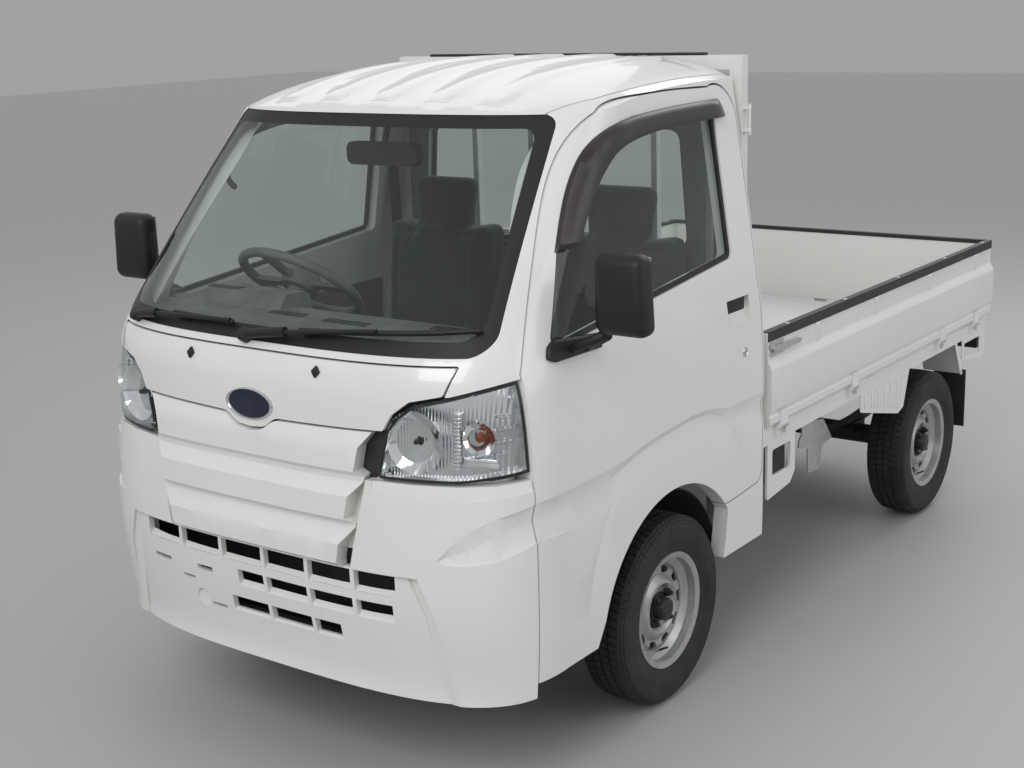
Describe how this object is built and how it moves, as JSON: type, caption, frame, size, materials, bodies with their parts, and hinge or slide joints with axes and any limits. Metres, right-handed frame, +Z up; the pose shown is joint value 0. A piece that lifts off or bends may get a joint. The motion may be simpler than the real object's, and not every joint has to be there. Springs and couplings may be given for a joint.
{
  "type": "kei truck",
  "caption": "Small cab-over pickup truck with rounded cab, drop-side bed, hinged doors, folding gates, steered front wheels and guard frame behind the cab.",
  "frame": {"origin": "on the floor, in the middle of the length and width", "axes": "-Y to the nose, +X to the truck's left side, +Z up"},
  "size_m": [1.867, 3.3927, 1.7683],
  "materials": {
    "paint": "solid white gloss paint",
    "trim": "grained black plastic",
    "edging": "black edging strip",
    "glass": "clear tinted glass",
    "lens": "clear lamp lens",
    "lamp": "bright reflector",
    "dash": "dark grey grained plastic",
    "seat": "dark grey woven cloth",
    "under": "black chassis paint",
    "iron": "bare cast iron",
    "steel": "dull steel",
    "wheel": "silver painted steel",
    "tyre": "black rubber",
    "rubber": "black rubber sheet",
    "tail": "red lamp lens",
    "liner": "black plastic liner"
  },
  "bodies": {
    "chassis": {"cab_side_left": "paint", "cab_side_right": "paint", "cab_roof": "paint", "cab_back_panel": "paint", "cab_glass": "glass", "cowl_panel": "paint", "windscreen_seal": "trim", "grille_panel": "paint", "front_bumper": "paint", "nose_frame": "under", "headlamp_lenses": "lens", "headlamp_housings": "lamp", "cab_floor": "under", "dashboard": "dash", "seats": "seat", "interior_mirror": "trim", "wipers": "trim", "front_suspension": "under", "ladder_frame": "under", "engine_block": "iron", "propeller_shaft": "steel", "rubber_parts": "rubber", "rear_axle": "under", "fuel_tank": "under", "exhaust": "steel", "bed_floor": "paint", "bed_guard": "paint", "bed_side_plates": "paint", "frame_hanger": "steel", "tail_lamps": "tail", "spare_tyre": "tyre", "spare_rim": "wheel", "arch_liners": "liner"},
    "door_left_body": {"door_left": "paint", "door_glass_left": "glass", "door_fittings_left": "trim"},
    "door_right_body": {"door_right": "paint", "door_glass_right": "glass", "door_fittings_right": "trim"},
    "gate_left_body": {"gate_left": "paint", "gate_cap_left": "edging", "gate_latch_left": "steel"},
    "gate_right_body": {"gate_right": "paint", "gate_cap_right": "edging", "gate_latch_right": "steel"},
    "tailgate_body": {"tailgate": "paint", "tailgate_cap": "edging"},
    "front_lid_body": {"front_lid": "paint"},
    "knuckle_left_body": {"knuckle_left": "iron"},
    "knuckle_right_body": {"knuckle_right": "iron"},
    "tie_rod_body": {"tie_rods": "steel"},
    "steering_wheel_body": {"steering_wheel": "dash"},
    "wheel_front_left_body": {"rim_front_left": "wheel", "tyre_front_left": "tyre"},
    "wheel_front_right_body": {"rim_front_right": "wheel", "tyre_front_right": "tyre"},
    "wheel_rear_left_body": {"rim_rear_left": "wheel", "tyre_rear_left": "tyre"},
    "wheel_rear_right_body": {"rim_rear_right": "wheel", "tyre_rear_right": "tyre"}
  },
  "joints": [
    {"name": "door_left_hinge", "type": "hinge", "parent": "chassis", "child": "door_left_body", "pos_m": [0.718, -1.432, 0.7], "axis": [0, 0, -1], "range_deg": [0, 68]},
    {"name": "door_right_hinge", "type": "hinge", "parent": "chassis", "child": "door_right_body", "pos_m": [-0.718, -1.432, 0.7], "axis": [0, 0, 1], "range_deg": [0, 68]},
    {"name": "gate_left_hinge", "type": "hinge", "parent": "chassis", "child": "gate_left_body", "pos_m": [0.7295, 0.7, 0.647], "axis": [0, 1, 0], "range_deg": [0, 170]},
    {"name": "gate_right_hinge", "type": "hinge", "parent": "chassis", "child": "gate_right_body", "pos_m": [-0.7295, 0.7, 0.647], "axis": [0, -1, 0], "range_deg": [0, 170]},
    {"name": "tailgate_hinge", "type": "hinge", "parent": "chassis", "child": "tailgate_body", "pos_m": [0, 1.6895, 0.647], "axis": [-1, 0, 0], "range_deg": [0, 170]},
    {"name": "front_lid_slide", "type": "slide", "parent": "chassis", "child": "front_lid_body", "axis": [0, -1, 0], "range_m": [0, 0.12]},
    {"name": "steer_left", "type": "hinge", "parent": "chassis", "child": "knuckle_left_body", "pos_m": [0.56, -0.8075, 0.27], "axis": [0, 0, 1], "range_deg": [-33, 33]},
    {"name": "steer_right", "type": "hinge", "parent": "chassis", "child": "knuckle_right_body", "pos_m": [-0.56, -0.8075, 0.27], "axis": [0, 0, 1], "range_deg": [-33, 33]},
    {"name": "tie_rod_slide", "type": "slide", "parent": "chassis", "child": "tie_rod_body", "axis": [-1, 0, 0], "range_m": [-0.063, 0.063]},
    {"name": "steering_wheel_turn", "type": "hinge", "parent": "chassis", "child": "steering_wheel_body", "pos_m": [-0.33, -1.11, 1.16], "axis": [0, 0.6157, 0.788], "range_deg": [-600, 600]},
    {"name": "spin_front_left", "type": "hinge", "parent": "knuckle_left_body", "child": "wheel_front_left_body", "pos_m": [0.6525, -0.8075, 0.27], "axis": [1, 0, 0], "continuous": true},
    {"name": "spin_rear_left", "type": "hinge", "parent": "chassis", "child": "wheel_rear_left_body", "pos_m": [0.6525, 1.0925, 0.27], "axis": [1, 0, 0], "continuous": true},
    {"name": "spin_front_right", "type": "hinge", "parent": "knuckle_right_body", "child": "wheel_front_right_body", "pos_m": [-0.6525, -0.8075, 0.27], "axis": [1, 0, 0], "continuous": true},
    {"name": "spin_rear_right", "type": "hinge", "parent": "chassis", "child": "wheel_rear_right_body", "pos_m": [-0.6525, 1.0925, 0.27], "axis": [1, 0, 0], "continuous": true}
  ],
  "couplings": [
    {"joint": "steer_right", "follows": "steer_left", "ratio": 1},
    {"joint": "tie_rod_slide", "follows": "steer_left", "m_per_rad": 0.107},
    {"joint": "steering_wheel_turn", "follows": "steer_left", "ratio": 18}
  ]
}
